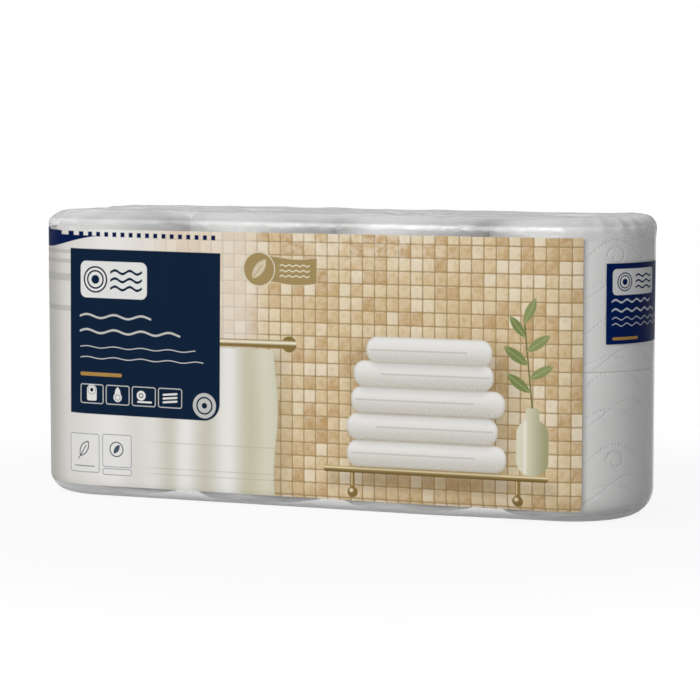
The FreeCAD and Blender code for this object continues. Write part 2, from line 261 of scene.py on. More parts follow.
class Drawing:
    """A print built up in layers on two coordinates in millimetres."""

    def __init__(self, graph: Graph, across: Signal, up: Signal, ground: object = None) -> None:
        """Starts on a ground colour.

        Args:
            graph: The tree that the drawing is made in.
            across: Coordinate that grows to the right.
            up: Coordinate that grows upwards.
            ground: Colour of the bare print, or nothing where only distances are wanted.
        """
        self.graph = graph
        self.across = across
        self.up = up
        self.colour = ground

    def lay(self, mask: Signal | float, colour: object) -> None:
        """Prints a colour over what is there."""
        self.colour = self.graph.blend(mask, self.colour, colour)

    def fill(self, shape: Signal, colour: object, soft: float = 0.3, share: float = 1) -> None:
        """Prints the inside of a shape, with a soft edge and a share of its colour."""
        mask = shape.inside(soft)
        self.lay(mask if share == 1 else mask * share, colour)

    def block(self, centre: Point, size: Point, radius: float = 0) -> Signal:
        """Distance to an upright rectangle.

        Args:
            centre: Its middle.
            size: Its width and height.
            radius: Radius of its corners.

        Returns:
            The distance, negative inside.
        """
        across = abs(self.across - centre[0]) - (size[0] / 2 - radius)
        up = abs(self.up - centre[1]) - (size[1] / 2 - radius)
        if radius == 0:
            return across.most(up)
        return across.most(0).length(up.most(0)) - radius

    def disc(self, centre: Point, radius: float) -> Signal:
        """Distance to a disc, negative inside."""
        return (self.across - centre[0]).length(self.up - centre[1]) - radius

    def bar(self, start: Point, end: Point, width: float) -> Signal:
        """Distance to a straight bar with round ends.

        Args:
            start: Middle of its first end.
            end: Middle of its other end.
            width: Its width.

        Returns:
            The distance, negative inside.
        """
        run = (end[0] - start[0], end[1] - start[1])
        square = run[0] ** 2 + run[1] ** 2
        across = self.across - start[0]
        up = self.up - start[1]
        share = (across * (run[0] / square) + up * (run[1] / square)).most(0).least(1)
        return (across - share * run[0]).length(up - share * run[1]) - width / 2

    def leaf(self, base: Point, tip: Point, fullness: float) -> Signal:
        """Distance to a pointed leaf.

        Args:
            base: Its stalk end.
            tip: Its point.
            fullness: Its width as a share of its length.

        Returns:
            The distance, negative inside.
        """
        run = (tip[0] - base[0], tip[1] - base[1])
        size = math.hypot(*run)
        radius = size * (1 + fullness**2) / (4 * fullness)
        back = radius - size * fullness / 2
        middle = ((base[0] + tip[0]) / 2, (base[1] + tip[1]) / 2)
        side = (-run[1] / size * back, run[0] / size * back)
        one = self.disc((middle[0] + side[0], middle[1] + side[1]), radius)
        other = self.disc((middle[0] - side[0], middle[1] - side[1]), radius)
        return one.most(other)

    def ripple(self, start: Point, run: float, rise: float, wave: float, width: float) -> Signal:
        """Distance to a wavy line that runs to the right.

        Args:
            start: Its left end.
            run: Its length.
            rise: Half of its height.
            wave: Length of one wave.
            width: Its width.

        Returns:
            The distance, negative inside.
        """
        swing = ((self.across - start[0]) * (2 * math.pi / wave)).sine() * rise
        past = abs(self.across - (start[0] + run / 2)) - run / 2
        return abs(self.up - start[1] - swing).most(past) - width / 2


# ---- finishes


@dataclass(frozen=True)
class MosaicWall:
    """Printed wall of small stone tiles, fading to pale towards the left, with a painted reflection
    of the film's gloss near its top.
    """

    pitch: Point = (8.5, 9)
    origin: Point = (3.2, 1.2)
    joint: float = 0.85
    grout: str = "b1976b"
    tints: tuple[str, ...] = ("c29b63", "d0b07c", "dcc193", "e6d2ab", "efe0c6")

    def draw(self, art: Drawing) -> None:
        """Prints the wall.

        Args:
            art: The print that it goes on.
        """
        graph = art.graph
        column = (art.across - self.origin[0]) / self.pitch[0]
        row = (art.up - self.origin[1]) / self.pitch[1]
        cell = graph.signal("CombineXYZ", None, {0: column.floor(), 1: row.floor()})
        chance = graph.signal("TexWhiteNoise", {"noise_dimensions": "2D"}, {0: cell}, "Value")
        stops = [(i / (len(self.tints) - 1), tint) for i, tint in enumerate(self.tints)]
        art.lay(0.9, graph.signal("ValToRGB", {"stops": stops}, {0: chance}))
        marble = graph.noise(210, 4, 0.65)
        art.lay(marble.ramp(0.35, 0.75) * 0.35, "f3e6cd")
        art.lay(marble.ramp(0.5, 0.25) * 0.22, "b08448")
        across = (column.fraction() - 0.5) * self.pitch[0]
        up = (row.fraction() - 0.5) * self.pitch[1]
        flat = (self.pitch[0] - self.joint, self.pitch[1] - self.joint)
        tile = Drawing(graph, across, up).block((0, 0), flat, 0.8)
        rim = tile.stroke(0.9, 0.9)
        art.lay(rim * (up - across).ramp(1, 4) * 0.55, "fbf3e2")
        art.lay(rim * (across - up).ramp(1, 4) * 0.35, "a7824c")
        art.lay(1 - tile.inside(0.5), self.grout)
        # painted reflection: faint whitish patches standing in for the film's gloss near the top of
        # the print
        gloss = marble.ramp(0.42, 0.62) * art.up.ramp(150, 184)
        gloss = gloss * art.across.ramp(-30, 0) * art.across.ramp(110, 60)
        art.lay(gloss * 0.3, "f6efe2")
        art.lay(art.across.ramp(-28, -52) * 0.62, "efe6da")
        art.lay(art.across.ramp(-95, -135), "e9e5df")


@dataclass(frozen=True)
class Linens:
    """Printed folded towels on a brass shelf with a vase of leaves, and a cloth on a rail."""

    white: str = "f1f0ec"
    shade: str = "c9c5ba"
    shadow: str = "6d5735"
    towel_height: float = 17.6
    towels: tuple[tuple[float, float, float], ...] = (
        (82, 41, 112),
        (79, 59, 106),
        (83, 77, 108),
        (80, 94.5, 98),
        (84, 110.5, 88),
    )
    leaf_tips: tuple[Point, ...] = (
        (138, 98),
        (170, 104),
        (136, 116),
        (168, 124),
        (140, 136),
        (158, 148),
    )

    def draw(self, art: Drawing) -> None:
        """Prints both groups.

        Args:
            art: The print that they go on.
        """
        art.fill(art.block((88, 66), (112, 96), 16), self.shadow, 22, 0.4)
        art.fill(art.block((-60, 58), (84, 104), 10), "8a7a58", 16, 0.38)
        self._cloth(art)
        self._rail(art)
        self._shelf(art)
        self._stack(art)
        self._vase(art)

    def _cloth(self, art: Drawing) -> None:
        """Prints the cloth that hangs on the left, with its folds and its hem."""
        graph = art.graph
        sway = graph.noise(1, 1, squeeze=(14, 1, 5))
        fold = ((art.across * 0.21 + sway * 5).sine() + 1) * 0.5
        edge = (art.up * 0.07).sine() * 1.6
        shape = Drawing(graph, art.across + edge, art.up)
        cloth = shape.block((-87, 56), (122, 104), 4).inside(0.8)
        tone = graph.blend(fold, "d3cfc1", self.white)
        tone = graph.blend(art.across.ramp(-62, -40) * 0.55, tone, "cbc79f")
        tone = graph.blend(art.across.ramp(-96, -134) * 0.8, tone, "e4e1dc")
        art.lay(cloth, tone)
        for height in (19, 23, 41):
            hem = (abs(shape.up - height) - 0.35).inside(0.5)
            art.lay(hem * cloth * shape.across.ramp(-128, -110) * 0.45, "b5ad95")

    def _rail(self, art: Drawing) -> None:
        """Prints the brass rail over the cloth, with the knob at its end."""
        rail = art.bar((-90, 112), (-18, 112), 5.2)
        metal = rail.least(art.disc((-16, 112), 5.4))
        art.fill(metal, "8b7443", 0.5)
        art.lay((art.up - 112.9).stroke(2, 1.4) * metal.inside(0.6), "f4ead0")

    def _shelf(self, art: Drawing) -> None:
        """Prints the brass shelf on its two brackets, with the shadow that it throws."""
        art.fill(art.block((92, 23), (158, 9), 3), self.shadow, 9, 0.42)
        for place in (30, 146):
            post = art.bar((place, 28), (place, 17), 3)
            art.fill(post.least(art.disc((place, 14.4), 3.7)), "8a7240", 0.5)
            art.fill(art.bar((place - 0.5, 27), (place - 0.5, 19), 0.7), "e6d3a4", 0.6)
            art.fill(art.disc((place - 0.9, 15.5), 1.2), "f2e6c4", 1.6)
        board = art.block((88, 29.6), (158, 4.2), 2)
        lift = (art.up - 29.6).ramp(-2.1, 2.1)
        art.fill(board, art.graph.blend(lift, "6f5930", "c9ad72"), 0.5)
        art.lay((art.up - 30.5).stroke(0.8, 0.8) * board.inside(0.6), "f6ebc9")

    def _stack(self, art: Drawing) -> None:
        """Prints the folded towels from the lowest to the highest."""
        graph = art.graph
        pile = graph.noise(900, 3, 0.7)
        for index, (middle, height, width) in enumerate(self.towels):
            below = (middle, height - 2.5)
            cast = art.block(below, (width - 4, self.towel_height), 8.2)
            art.fill(cast, "6f6650", 6, 0.3)
            shape = art.block((middle, height), (width, self.towel_height), 7.6)
            body = shape.inside(0.8)
            lift = (art.up - height).ramp(-8.5, 6)
            tone = graph.blend(lift, self.shade, self.white)
            art.lay(body, graph.blend(pile.ramp(0.35, 0.7) * 0.3, tone, "ffffff"))
            side = 1 if index % 2 else -1
            start = middle - side * width * 0.30
            turn = art.bar((start, height), (middle + side * width * 0.47, height), 0.5)
            art.lay(turn.inside(1.2) * body * 0.75, "aaa492")
            art.lay((shape + 0.6).stroke(0.6, 1.2) * 0.35, "a9a18d")

    def _vase(self, art: Drawing) -> None:
        """Prints the vase and its twig of leaves."""
        body = art.block((156, 50), (22, 37), 10)
        vase = body.least(art.block((156, 70), (9, 12), 2))
        art.fill(art.bar((156, 74), (150, 134), 1), "6c7144", 0.6)
        for order, tip in enumerate(self.leaf_tips):
            base = (154.6 - order * 0.9, 86 + order * 9)
            green = "8f9a63" if order % 2 else "7f8c55"
            art.fill(art.leaf(base, tip, 0.34), green, 0.6)
            art.fill(art.bar(base, tip, 0.4), "c3cb9a", 0.5, 0.6)
        tone = art.graph.blend(art.across.ramp(148, 166), "e3e0c8", "a8a67f")
        art.fill(vase, tone, 0.6)
        art.lay((art.across - 151).stroke(1.6, 1.8) * body.inside(3) * 0.7, "fbfaf0")


@dataclass(frozen=True)
class Panel:
    """The navy panel of the front with its plain emblem, ripples, rule, signs and disc."""

    left: float = -183.35
    right: float = -67.2
    base: float = 58.1
    top: float = 173.1
    corner: float = 12
    navy: str = "0d223a"
    white: str = "e8e8e6"
    gold: str = "b08a4a"
    silver: str = "c6c6c4"
    seal: Point = (-78.7, 68.4)
    signs: tuple[float, ...] = (-165, -144.9, -124.8, -104.7)
    ripples: tuple[tuple[float, float, float, float], ...] = (
        (126.5, 54, 1.2, 1.5),
        (116, 76, 1.2, 1.5),
        (105, 88, 0.6, 0.7),
        (97.5, 94, 0.6, 0.7),
    )

    def draw(self, straight: Drawing) -> None:
        """Prints the panel, which leans a little as the film was pulled.

        Args:
            straight: The print that it goes on.
        """
        art = leaning(straight)
        upright = (art.across - self.right).most(self.left - art.across)
        level = (art.up - self.top).most(self.base - art.up)
        across = (art.across - (self.right - self.corner)).most(0)
        up = (self.base + self.corner - art.up).most(0)
        body = upright.most(level).most(across.length(up) - self.corner)
        art.fill(body, self.navy, 0.5)
        emblem(art, (-148.3, 152), (51.5, 25.5), self.white, self.navy)
        for height, run, rise, width in self.ripples:
            line = art.ripple((-174, height), run, rise, 21, width)
            art.fill(line, self.silver)
        art.fill(art.bar((-173, 86), (-143, 86), 2.6), self.gold)
        self._signs(art)
        art.fill(art.disc(self.seal, 8.7), self.silver, 0.4)
        ring = art.disc(self.seal, 5.6).stroke(1.1)
        art.lay(ring.most(art.disc(self.seal, 2).inside()), self.navy)
        straight.colour = art.colour

    def _signs(self, art: Drawing) -> None:
        """Prints the four framed signs: a roll, a drop, a sheet that unrolls and stacked plies."""
        for middle in self.signs:
            edge = art.block((middle, 72.2), (18.4, 13.8), 1.8)
            art.lay((edge + 0.35).stroke(0.7), self.silver)
        first, second, third, fourth = self.signs
        end = art.disc((first, 75), 3.8)
        art.fill(art.block((first, 71.4), (7.6, 8), 1.4).least(end), self.white)
        art.fill(art.disc((first, 75), 1.3), self.navy)
        art.lay(art.disc((first, 75), 3).stroke(0.4) * 0.7, self.navy)
        point = art.leaf((second, 69), (second, 77.8), 0.5)
        art.fill(art.disc((second, 70.6), 3.2).least(point), self.white)
        art.lay(art.disc((second, 70.6), 1.9).stroke(0.5) * 0.7, self.navy)
        turn = art.disc((third - 2, 72.8), 3.4)
        sheet = art.block((third + 0.6, 68.4), (11, 1.3))
        art.lay(turn.inside().most(sheet.inside()), self.white)
        art.lay((turn + 2).stroke(0.6), self.navy)
        for step in (-2.6, 0, 2.6):
            ply = art.bar((fourth - 5, 71.7 + step), (fourth + 5, 72.7 + step), 1.4)
            art.fill(ply, self.white)


@dataclass(frozen=True)
class FrontMarks:
    """Small marks on the pale part of the print: frames, a badge, a row of squares and a band."""

    navy: str = "001848"
    pitch: float = 6.25
    frames: tuple[tuple[Point, Point], ...] = (
        ((-172.1, 31), (24, 26.8)),
        ((-146.2, 33.4), (22.2, 22.6)),
        ((-146.2, 18.6), (22.2, 4.2)),
    )

    def draw(self, art: Drawing) -> None:
        """Prints the marks.

        Args:
            art: The print that they go on.
        """
        self._frames(art)
        self._badge(art)
        self._squares(art)

    def _frames(self, art: Drawing) -> None:
        """Prints the outlined frames, with a small leaf in one and a ring in another."""
        for middle, size in self.frames:
            edge = art.block(middle, size, 1.6)
            art.fill(edge, "ecebe8", share=0.5)
            art.lay(edge.stroke(0.5), "8d95a3")
        leaf = art.leaf((-175.5, 28.5), (-168.5, 39.5), 0.5)
        art.lay((leaf + 0.4).stroke(0.7), "2d3a52")
        art.fill(art.bar((-177, 26.5), (-170.5, 36), 0.6), "2d3a52")
        art.lay(art.disc((-146.6, 34.5), 5).stroke(0.8), "4a566b")
        art.fill(art.leaf((-148.6, 31.5), (-144.2, 37.8), 0.45), "4a566b")
        art.fill(art.bar((-180, 21.8), (-164, 21.8), 0.8), "5f6a7d", share=0.8)

    def _badge(self, art: Drawing) -> None:
        """Prints the tan badge: a disc with a leaf on it and a waved band with ripples."""
        swing = ((art.across + 22) * 0.13).sine() * 1.1
        waved = Drawing(art.graph, art.across, art.up + swing)
        band = waved.block((-14, 161.8), (36, 17)).least(art.disc((-38, 162.4), 11.7))
        art.fill(band - 0.45, "ddd2b6", 0.4)
        art.fill(band, "a89162", 0.4)
        art.lay(art.disc((-38, 162.4), 11.4).stroke(0.7), "e4dcc6")
        art.fill(art.leaf((-43, 156), (-33, 169), 0.42), "d9cdae", 0.8)
        art.fill(art.bar((-44.5, 154), (-36, 165), 0.5), "a08757", share=0.8)
        for height in (165.2, 161.6, 158):
            art.fill(art.ripple((-22.5, height), 21, 0.5, 5.2, 0.8), "eee6d0", 0.5)

    def _squares(self, straight: Drawing) -> None:
        """Prints the row of small squares and the tapering band under its left end."""
        art = leaning(straight)
        taper = art.across.ramp(-152, -214)
        foot = 182.6 - taper * 9.6 - art.up
        head = art.up - 182.3 - art.across.ramp(-207, -214) * 3.6
        art.fill(head.most(foot).most(art.across + 156), self.navy, 0.5)
        bend = (-164 - art.across).most(0)
        order = (art.across + 72.5) / self.pitch + bend * bend * 0.0018
        step = abs((order + 0.5).fraction() - 0.5) * self.pitch
        reach = (order - 0.4).most(-19 - order) * self.pitch
        square = (step - 1.5).most(abs(art.up - 183.4) - 1.6).most(reach)
        art.fill(square, self.navy, 0.5)
        straight.colour = art.colour


def leaning(art: Drawing) -> Drawing:
    """A drawing on the same print, with the colours so far, that leans as the film was pulled."""
    across = art.across - (art.up - 116) * 0.0095
    up = art.up + (art.across + 125) * 0.012
    return Drawing(art.graph, across, up, art.colour)


def emblem(art: Drawing, middle: Point, size: Point, plate: str, mark: str) -> None:
    """Prints a plain plate with the end of a roll and three ripples on it.

    Args:
        art: The print that it goes on.
        middle: Middle of the plate.
        size: Width and height of the plate.
        plate: Colour of the plate.
        mark: Colour of the marks on it.
    """
    width, height = size
    art.fill(art.block(middle, size, height * 0.18), plate, 0.4)
    centre = (middle[0] - width * 0.27, middle[1])
    for share in (0.34, 0.235):
        art.lay(art.disc(centre, height * share).stroke(height * 0.045), mark)
    art.fill(art.disc(centre, height * 0.12), mark)
    for step in (-0.22, 0, 0.22):
        start = (middle[0] - width * 0.03, middle[1] + height * step)
        rise = height * 0.045
        art.fill(art.ripple(start, width * 0.44, rise, width * 0.22, height * 0.07), mark)


@dataclass(frozen=True)
class Finish:
    """A finish: the name of its material, and a method that paints it."""

    name: str

    def paint(self, graph: Graph) -> Inputs:
        """Gives the inputs of the finish's shader."""
        raise NotImplementedError

    def material(self) -> bpy.types.Material:
        """Makes the material.

        Returns:
            The material with its shader.
        """
        made = bpy.data.materials.new(self.name)
        graph = Graph(made)
        graph.close(graph.signal("BsdfPrincipled", None, self.paint(graph)))
        return made


@dataclass(frozen=True)
class PrintedFilm(Finish):
    """White-backed film with the wall, the linens, the panel and the small marks printed on it."""

    name: str = "printed_film"
    roughness: float = 0.36
    wrinkle: float = 0.12
    stripes: tuple[Point, ...] = ((171.2, 2.6), (164.6, 2.8), (153.3, 5.1), (131.6, 3.9))

    def paint(self, graph: Graph) -> Inputs:
        """Prints everything in order and wrinkles the film a little."""
        across, up, _ = graph.attribute("wrap")
        art = Drawing(graph, across, up, "e6dfd2")
        MosaicWall().draw(art)
        Linens().draw(art)
        self._left_end(art)
        Panel().draw(art)
        FrontMarks().draw(art)
        cloud = graph.noise(60, 3, squeeze=(1, 1, 0.35))
        return {
            "Base Color": art.colour,
            "Roughness": cloud.ramp(0.2, 0.8) * 0.12 + self.roughness,
            "Specular IOR Level": 0.04,
            "Normal": graph.bump(cloud, self.wrinkle),
        }

    def _left_end(self, art: Drawing) -> None:
        """Prints the pale cloth that runs round the left end, with broad soft stripes; it grows
        darker towards the end and is greyed with painted shade where it turns round it.
        """
        plain = art.across.ramp(-128, -150)
        near = art.graph.blend(art.across.ramp(-150, -184), "f0edea", "e2dfda")
        # painted shade: the print greys where the wrap turns round the left end, away from the
        # light
        end_shade = art.across.ramp(-184, -206)
        art.lay(plain, art.graph.blend(end_shade, near, "c4c2bd"))
        for height, width in self.stripes:
            stripe = (abs(art.up - height) - width / 2).inside(1)
            art.lay(stripe * plain * 0.4, "9a9891")


@dataclass(frozen=True)
class EndLabel(Finish):
    """The navy label printed on the clear right end of the wrap."""

    name: str = "end_label"
    left: float = 204.5
    navy: str = "011c52"
    ripples: tuple[tuple[float, float, float], ...] = (
        (146, 36, 1.3),
        (140, 44, 1.3),
        (134.6, 58, 0.7),
        (130.6, 60, 0.7),
    )

    def paint(self, graph: Graph) -> Inputs:
        """Prints the emblem, the ripples and the rule on a navy ground."""
        across, up, _ = graph.attribute("wrap")
        grain = graph.noise(160, 2)
        ground = graph.blend(grain.ramp(0.3, 0.7) * 0.15, self.navy, "0a2a66")
        art = Drawing(graph, across, up, ground)
        emblem(art, (self.left + 25.5, 158.4), (42, 17), "dedede", self.navy)
        for height, run, width in self.ripples:
            line = art.ripple((self.left + 4.6, height), run, 0.9, 9, width)
            art.fill(line, "c3c7d0")
        art.fill(art.bar((210, 121.6), (230, 121.6), 2), "b08a4a")
        return {
            "Base Color": art.colour,
            "Roughness": grain * 0.15 + 0.25,
            "Specular IOR Level": 0.04,
            "Normal": graph.bump(grain, 0.1),
        }


@dataclass(frozen=True)
class ClearFilm(Finish):
    """Thin clear film: hazier where it is folded or seen at a slant, with a soft gloss."""

    name: str = "clear_film"
    haze: float = 0.07
    fold_haze: float = 0.24
    roughness: float = 0.15
    print_edge: float = 188.9
    haze_and_highlight_white: Colour = (0.99, 0.99, 0.99)
    grey: Colour = (0.76, 0.765, 0.77)
    rim_shade_grey: Colour = (0.66, 0.665, 0.67)
    foot_grey: Colour = (0.6, 0.605, 0.61)
    shadow: Colour = (0.24, 0.245, 0.25)

    def material(self) -> bpy.types.Material:
        """Makes the material, which lets what is behind it through."""
        made = super().material()
        made.surface_render_method = "BLENDED"
        return made

    def paint(self, graph: Graph) -> Inputs:
        """Veils the film where it is hazy, and paints a white highlight in the band under the top
        rim, shade on the rim's bend and the shadow beside the print.
        """
        across, up, layers = graph.attribute("wrap")
        slant = graph.signal("LayerWeight", None, {"Blend": 0.35}, "Facing")
        cloud = graph.noise(95, 3, 0.55, (0.22, 0.5, 0.6))
        creases = graph.noise(110, 2, 0.5, (0.34, 0.6, 1))
        veil = layers * self.fold_haze + self.haze + slant * slant * 0.8
        veil = veil + (cloud.ramp(0.3, 0.7) - 0.5) * 0.22 * layers.least(1)
        past = across - self.print_edge
        beside = past.ramp(4.5, 0) * past.ramp(-0.1, 0)
        beside = beside * up.ramp(9, 14) * up.ramp(188.5, 184)
        # cloudy streaks vary the film's haze at random; the rise below the top rim paints a white
        # highlight band
        streaks_and_highlight = cloud.ramp(0.25, 0.75) * 0.6 + up.ramp(195.6, 192.6) * up.ramp(60, 120)
        tone = graph.blend(streaks_and_highlight.least(1), self.grey, self.haze_and_highlight_white)
        # painted shade: the film is greyed over the bend of the top rim
        bend = up.ramp(193.4, 195.4) * up.ramp(199.45, 198.6)
        tone = graph.blend(bend * 0.75, tone, self.rim_shade_grey)
        # painted highlight: the band under the top rim is made more opaque so that its white shows
        # as a bright line
        band = up.ramp(194.6, 192.6) * up.ramp(184, 187.5)
        veil = veil + band * (cloud * 0.5 - 0.06)
        tone = graph.blend(up.ramp(13, 7) * 0.3, tone, self.foot_grey)
        tone = graph.blend(beside * 0.8, tone, self.shadow)
        ridge = (1 - abs(creases * 2 - 1) * 5).most(0)
        height = cloud * 0.8 + creases * 0.3 + ridge * 0.35
        return {
            "Base Color": tone,
            "Roughness": creases * 0.12 + self.roughness,
            "Specular IOR Level": 0.7,
            "Coat Weight": 0.7,
            "Coat Roughness": 0.08,
            "Alpha": (veil + beside * 0.3).most(0.05).least(0.93),
            "Normal": graph.bump(height, 0.9, 0.8),
        }


@dataclass(frozen=True)
class EmbossedTissue(Finish):
    """Soft white paper pressed with curls, flowing lines and dotted lines."""

    name: str = "embossed_tissue"
    cell: Point = (86.08, 99)
    wave: Point = (43.04, 49.5)
    dot: float = 2.69
    line: float = 0.9
    depth: float = 0.36

    def paint(self, graph: Graph) -> Inputs:
        """Presses the pattern into the side and winds rings on the ends."""
        around, up, radius = graph.attribute("wound")
        pressed = self._pattern(graph, around, up)
        side = radius.ramp(45, 47)
        crepe = graph.noise(1900, 2, 0.7, (1, 1, 0.4))
        rings = (radius * 5.2 + graph.noise(40) * 2.5).sine()
        rings = (rings * 0.5 + 0.5) * (1 - side)
        height = 1 - pressed * side + crepe * 0.12 + rings * 0.22
        # painted shade: the pressed lines are a little darker, as shade in their grooves
        tone = graph.blend(pressed * side * 0.10, "ebebea", "c0c1c2")
        return {
            "Base Color": graph.blend(rings * 0.22, tone, "c8c7c4"),
            "Roughness": crepe * 0.1 + 0.88,
            "Specular IOR Level": 0.12,
            "Sheen Weight": 0.15,
            "Normal": graph.bump(height, self.depth),
        }

    def _pattern(self, graph: Graph, around: Signal, up: Signal) -> Signal:
        """The pressed lines.

        Args:
            graph: The tree they are made in.
            around: Distance round the roll.
            up: Height on the roll.

        Returns:
            A mask that is 1 in the pressed lines.
        """
        across = ((around / self.cell[0]).fraction() - 0.5) * self.cell[0]
        rise = ((up / self.cell[1]).fraction() - 0.5) * self.cell[1]
        curl, first = self._curl(graph, across + 33.6, rise - 25.9, 1)
        other, second = self._curl(graph, across - 9.4, rise + 20, -1)
        dots = ((around / self.dot).fraction() - 0.5) * self.dot
        dotted = (self._wave(around, up, 12, 2, 0.9, 0).length(dots) - 0.7).inside(1)
        crossing = (self._wave(around, up, 15, 3, 3.4, 20).length(dots) - 0.6).inside(1)
        line = (abs(self._wave(around, up, 10, 2, 0, 31)) - self.line / 2).inside(1.3)
        clear = first.ramp(7.6, 9) * second.ramp(7.6, 9)
        return curl.most(other).most(clear * dotted.most(crossing * 0.8).most(line * 0.8))

    def _wave(
        self, around: Signal, up: Signal, rise: float, cells: int, phase: float, level: float
    ) -> Signal:
        """Height in millimetres above the nearest of a set of waves.

        Args:
            around: Distance round the roll.
            up: Height on the roll.
            rise: Half the height of a wave.
            cells: Length of a wave, in turns of the wave's own pitch.
            phase: Shift of the wave, as an angle.
            level: Height of one wave's middle.

        Returns:
            The height, negative below the wave.
        """
        turn = 2 * math.pi / (self.wave[0] * cells)
        swing = (around * turn + phase).sine() * rise
        return (((up - swing - level) / self.wave[1]).fraction() - 0.5) * self.wave[1]

    def _curl(
        self, graph: Graph, across: Signal, up: Signal, hand: float
    ) -> tuple[Signal, Signal]:
        """One open curl.

        Args:
            graph: The tree it is made in.
            across: Distance to the right of its middle.
            up: Height above its middle.
            hand: 1 for a curl that opens to the left, -1 to the right.

        Returns:
            A mask that is 1 on the curl's line, and the distance from its middle.
        """
        reach = across.length(up)
        angle = graph.math("ARCTAN2", up, across * hand) / (2 * math.pi) + 0.5
        turn = abs(reach - angle * 4.4 - 3)
        return (turn - self.line / 2).inside(1.3), reach


@dataclass(frozen=True)
class CoreBoard(Finish):
    """Grey-brown cardboard wound in a slanting strip."""

    name: str = "core_board"
    strip: float = 62
    slope: float = 0.46

    def paint(self, graph: Graph) -> Inputs:
        """Mottles the board with fibres and cuts the strip's groove."""
        around, up, _ = graph.attribute("wound")
        fibre = graph.noise(700, 4, 0.7, (1, 1, 0.3))
        seam = ((up - around * self.slope) / self.strip).fraction()
        groove = (abs(seam - 0.5) - 0.006).inside(0.006)
        tone = graph.blend(fibre.ramp(0.3, 0.75), "a98f6e", "c4ad8a")
        return {
            "Base Color": graph.blend(groove * 0.7, tone, "6f5a40"),
            "Roughness": fibre * 0.15 + 0.8,
            "Specular IOR Level": 0.2,
            "Normal": graph.bump(fibre * 0.4 - groove, 0.25),
        }


# ---- meshes


def stations(breaks: Sequence[float], step: float) -> list[float]:
    """Divides a range evenly between the places that have to be met.

    Args:
        breaks: Places that have to be met, in order.
        step: Largest distance between two stations.

    Returns:
        All the stations, with the breaks.
    """
    places = [breaks[0]]
    for start, end in zip(breaks, breaks[1:]):
        count = max(1, math.ceil(abs(end - start) / step - 1e-6))
        places += [start + (end - start) * (i + 1) / count for i in range(count)]
    return places


def smooth(value: Grid, low: float, high: float) -> Grid:
    """Rises smoothly from 0 at one value to 1 at another."""
    share = np.clip((value - low) / (high - low), 0, 1)
    return share * share * (3 - 2 * share)


def field_of(x: Grid, y: Grid, z: Grid, scale: Sequence[float], seed: float) -> Grid:
    """Smooth noise from -1 to 1 at many points.

    Args:
        x: First coordinates in millimetres.
        y: Second coordinates.
        z: Third coordinates.
        scale: Size of one lump along each axis, in millimetres.
        seed: Shifts the noise.

    Returns:
        One value for each point.
    """
    points = zip((x / scale[0]).ravel(), (y / scale[1]).ravel(), (z / scale[2]).ravel())
    values = [noise.noise(Vector((a + seed, b - seed, c + 2 * seed))) for a, b, c in points]
    return np.array(values).reshape(x.shape)


def sheet_mesh(
    name: str, points: Grid, carried: Grid, attribute: str, loop_rows: bool = False
) -> bpy.types.Object:
    """Makes a mesh from a grid of points whose columns close into a ring.

    Args:
        name: Name of the piece.
        points: Rows by columns by three, in millimetres.
        carried: Rows by one column more by three, the values that the mesh carries.
        attribute: Name under which it carries them.
        loop_rows: Whether the last row also meets the first.

    Returns:
        The piece, smooth shaded.
    """
    rows, columns = points.shape[:2]
    steps = rows if loop_rows else rows - 1
    i, j = np.meshgrid(np.arange(steps), np.arange(columns), indexing="ij")
    below, right = (i + 1) % rows, (j + 1) % columns
    corners = [(i, j), (i, right), (below, right), (below, j)]
    faces = np.stack([a * columns + b for a, b in corners], axis=-1).reshape(-1, 4)
    mesh = bpy.data.meshes.new(name)
    mesh.from_pydata((points.reshape(-1, 3) * MM).tolist(), [], faces.tolist())
    unrolled = [(i, j), (i, j + 1), (below, j + 1), (below, j)]
    values = np.stack([carried[corner] for corner in unrolled], axis=2)
    layer = mesh.attributes.new(attribute, "FLOAT_VECTOR", "CORNER")
    layer.data.foreach_set("vector", values.astype(np.float32).ravel())
    mesh.polygons.foreach_set("use_smooth", [True] * len(mesh.polygons))
    return linked(name, mesh)


def linked(name: str, data: bpy.types.ID) -> bpy.types.Object:
    """Makes an object of a mesh, a lamp or a camera and puts it in the scene."""
    made = bpy.data.objects.new(name, data)
    bpy.context.scene.collection.objects.link(made)
    return made


def weld(piece: bpy.types.Object, reach: float = 0.002) -> None:
    """Joins points that lie together, within a distance in millimetres."""
    work = bmesh.new()
    work.from_mesh(piece.data)
    bmesh.ops.remove_doubles(work, verts=work.verts, dist=reach * MM)
    bmesh.ops.dissolve_degenerate(work, edges=work.edges, dist=reach * MM)
    work.to_mesh(piece.data)
    work.free()
    piece.data.update()


# ---- pieces


@dataclass(frozen=True)
class Skin:
    """The film's points before it is shaped: places, distance from the middle line, and outline."""

    x: Grid
    y: Grid
    z: Grid
    rho: Grid
    turn: Grid
    u: Grid


